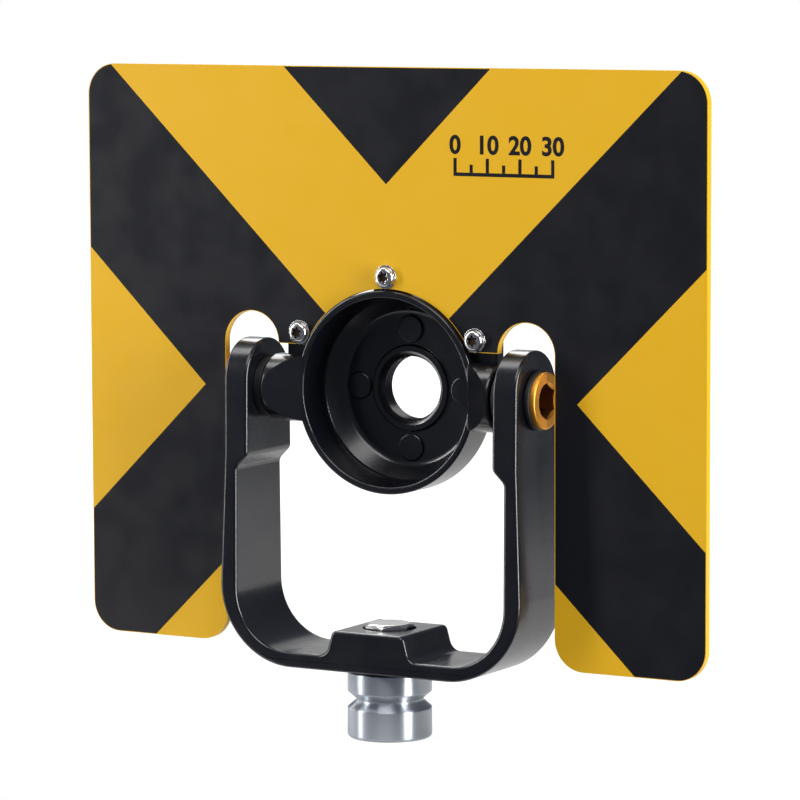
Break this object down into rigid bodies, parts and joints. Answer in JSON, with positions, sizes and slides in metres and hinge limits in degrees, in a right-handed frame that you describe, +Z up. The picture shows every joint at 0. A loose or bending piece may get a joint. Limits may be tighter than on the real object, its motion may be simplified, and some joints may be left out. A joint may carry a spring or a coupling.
{
  "type": "survey prism holder with target plate",
  "caption": "Single-tilt prism holder for surveying: a two-tone sighting plate and a threaded dish that tip together in a forked yoke above a screw-on pole adapter.",
  "frame": {"origin": "centre of the ring-shaped seat under the base adapter, where the holder stands on a pole", "axes": "+Z up along the pole, -Y towards the instrument that sights the plate, +X to the right of someone facing the plate"},
  "size_m": [0.18, 0.0291, 0.171],
  "materials": {
    "black_paint": "satin",
    "yellow_paint": "satin",
    "turned_aluminium": "satin",
    "bright_steel": "gloss",
    "gold_anodised": "satin",
    "black_nylon": "matte",
    "bush_bronze": "satin"
  },
  "bodies": {
    "yoke": {"yoke": "black_paint", "base_adapter": "turned_aluminium", "adapter_bolt": "bright_steel", "adapter_bolt_washer": "bright_steel", "pivot_bush_right": "bush_bronze", "pivot_bush_left": "bush_bronze", "thrust_washer_right": "black_nylon", "thrust_washer_left": "black_nylon"},
    "tilting_target": {"prism_holder": "black_paint", "target_plate": "yellow_paint", "plate_screw_top": "bright_steel", "plate_screw_left": "bright_steel", "plate_screw_right": "bright_steel", "lock_washer_top": "bright_steel", "lock_washer_left": "bright_steel", "lock_washer_right": "bright_steel", "pivot_screw_right": "gold_anodised", "pivot_screw_left": "gold_anodised", "head_washer_right": "black_nylon", "head_washer_left": "black_nylon"}
  },
  "joints": [
    {"name": "tilt", "type": "hinge", "parent": "yoke", "child": "tilting_target", "pos_m": [0, 0, 0.0885], "axis": [1, 0, 0], "range_deg": [-130, 130]}
  ]
}
